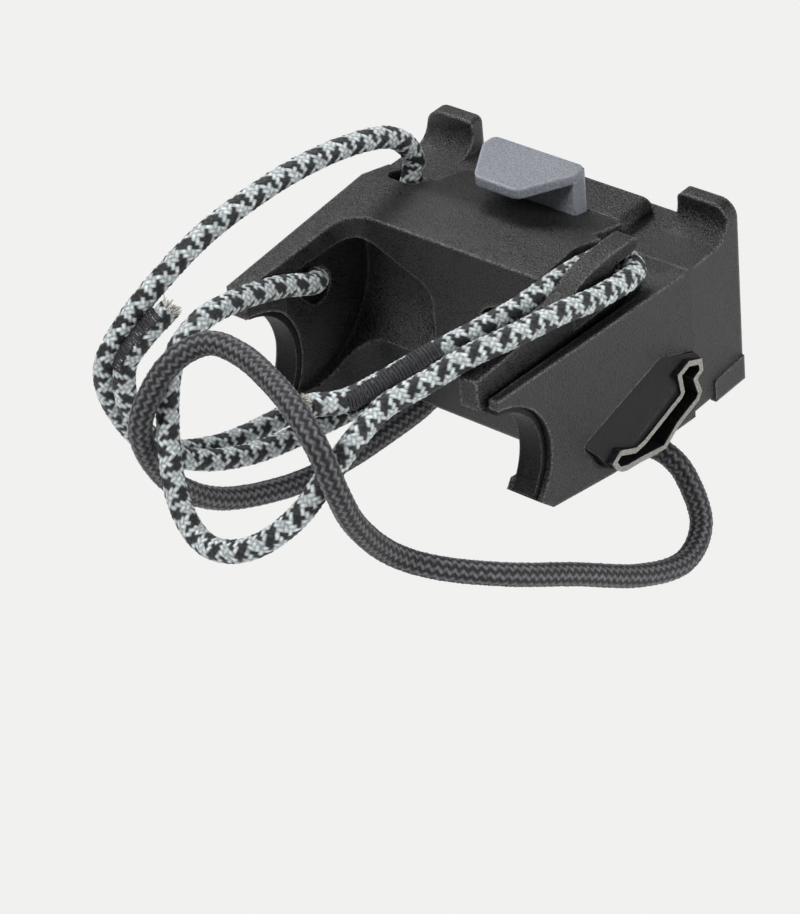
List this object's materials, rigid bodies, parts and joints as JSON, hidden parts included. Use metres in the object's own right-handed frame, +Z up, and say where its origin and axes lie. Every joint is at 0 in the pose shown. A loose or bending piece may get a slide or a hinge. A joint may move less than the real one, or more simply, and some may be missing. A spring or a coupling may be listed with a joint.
{
  "type": "handlebar bag mount",
  "caption": "Moulded handlebar mount held by looped cords, with two bag hooks, a sprung release button and soft cable guides.",
  "frame": {"origin": "centre of the handlebar's axis, in the middle of the mount's width", "axes": "+X along the handlebar, +Y away from the rider towards the bag, +Z up"},
  "size_m": [0.1032, 0.1345, 0.0917],
  "materials": {
    "housing_plastic": "fine satin grain",
    "button_plastic": "satin",
    "guide_rubber": "matt",
    "screw_steel": "zinc plated",
    "reflective_braid": "braid with reflective flecks",
    "black_braid": "tight braid"
  },
  "bodies": {
    "housing": {"rear_shell": "housing_plastic", "front_shell": "housing_plastic", "button_spring": "screw_steel", "cable_guide_left": "guide_rubber", "cable_guide_right": "guide_rubber", "bar_pad_left": "guide_rubber", "bar_pad_right": "guide_rubber", "shell_screw_1": "screw_steel", "shell_screw_2": "screw_steel", "shell_screw_3": "screw_steel", "shell_screw_4": "screw_steel", "reflective_cord_upper": "reflective_braid", "reflective_cord_lower": "reflective_braid", "safety_cord": "black_braid"},
    "button": {"release_button": "button_plastic"},
    "screw_left": {"tension_screw_left": "screw_steel", "screw_clip_left": "screw_steel"},
    "screw_right": {"tension_screw_right": "screw_steel", "screw_clip_right": "screw_steel"},
    "carriage_left": {"cord_carriage_left": "housing_plastic", "carriage_nut_left": "screw_steel"},
    "carriage_right": {"cord_carriage_right": "housing_plastic", "carriage_nut_right": "screw_steel"}
  },
  "joints": [
    {"name": "button_press", "type": "slide", "parent": "housing", "child": "button", "axis": [0, 0, 1], "range_m": [-0.0045, 0], "stiffness_N_per_m": 600, "springref_m": 0.006, "deforming": ["button_spring"]},
    {"name": "tension_screw_turn_left", "type": "hinge", "parent": "housing", "child": "screw_left", "pos_m": [-0.021, 0, -0.006], "axis": [0, -1, 0], "range_deg": [-3600, 900]},
    {"name": "carriage_slide_left", "type": "slide", "parent": "housing", "child": "carriage_left", "axis": [0, 1, 0], "range_m": [-0.008, 0.002]},
    {"name": "tension_screw_turn_right", "type": "hinge", "parent": "housing", "child": "screw_right", "pos_m": [0.021, 0, -0.006], "axis": [0, -1, 0], "range_deg": [-3600, 900]},
    {"name": "carriage_slide_right", "type": "slide", "parent": "housing", "child": "carriage_right", "axis": [0, 1, 0], "range_m": [-0.008, 0.002]}
  ],
  "couplings": [
    {"joint": "tension_screw_turn_left", "follows": "carriage_slide_left", "rad_per_m": 7854},
    {"joint": "tension_screw_turn_right", "follows": "carriage_slide_right", "rad_per_m": 7854}
  ]
}
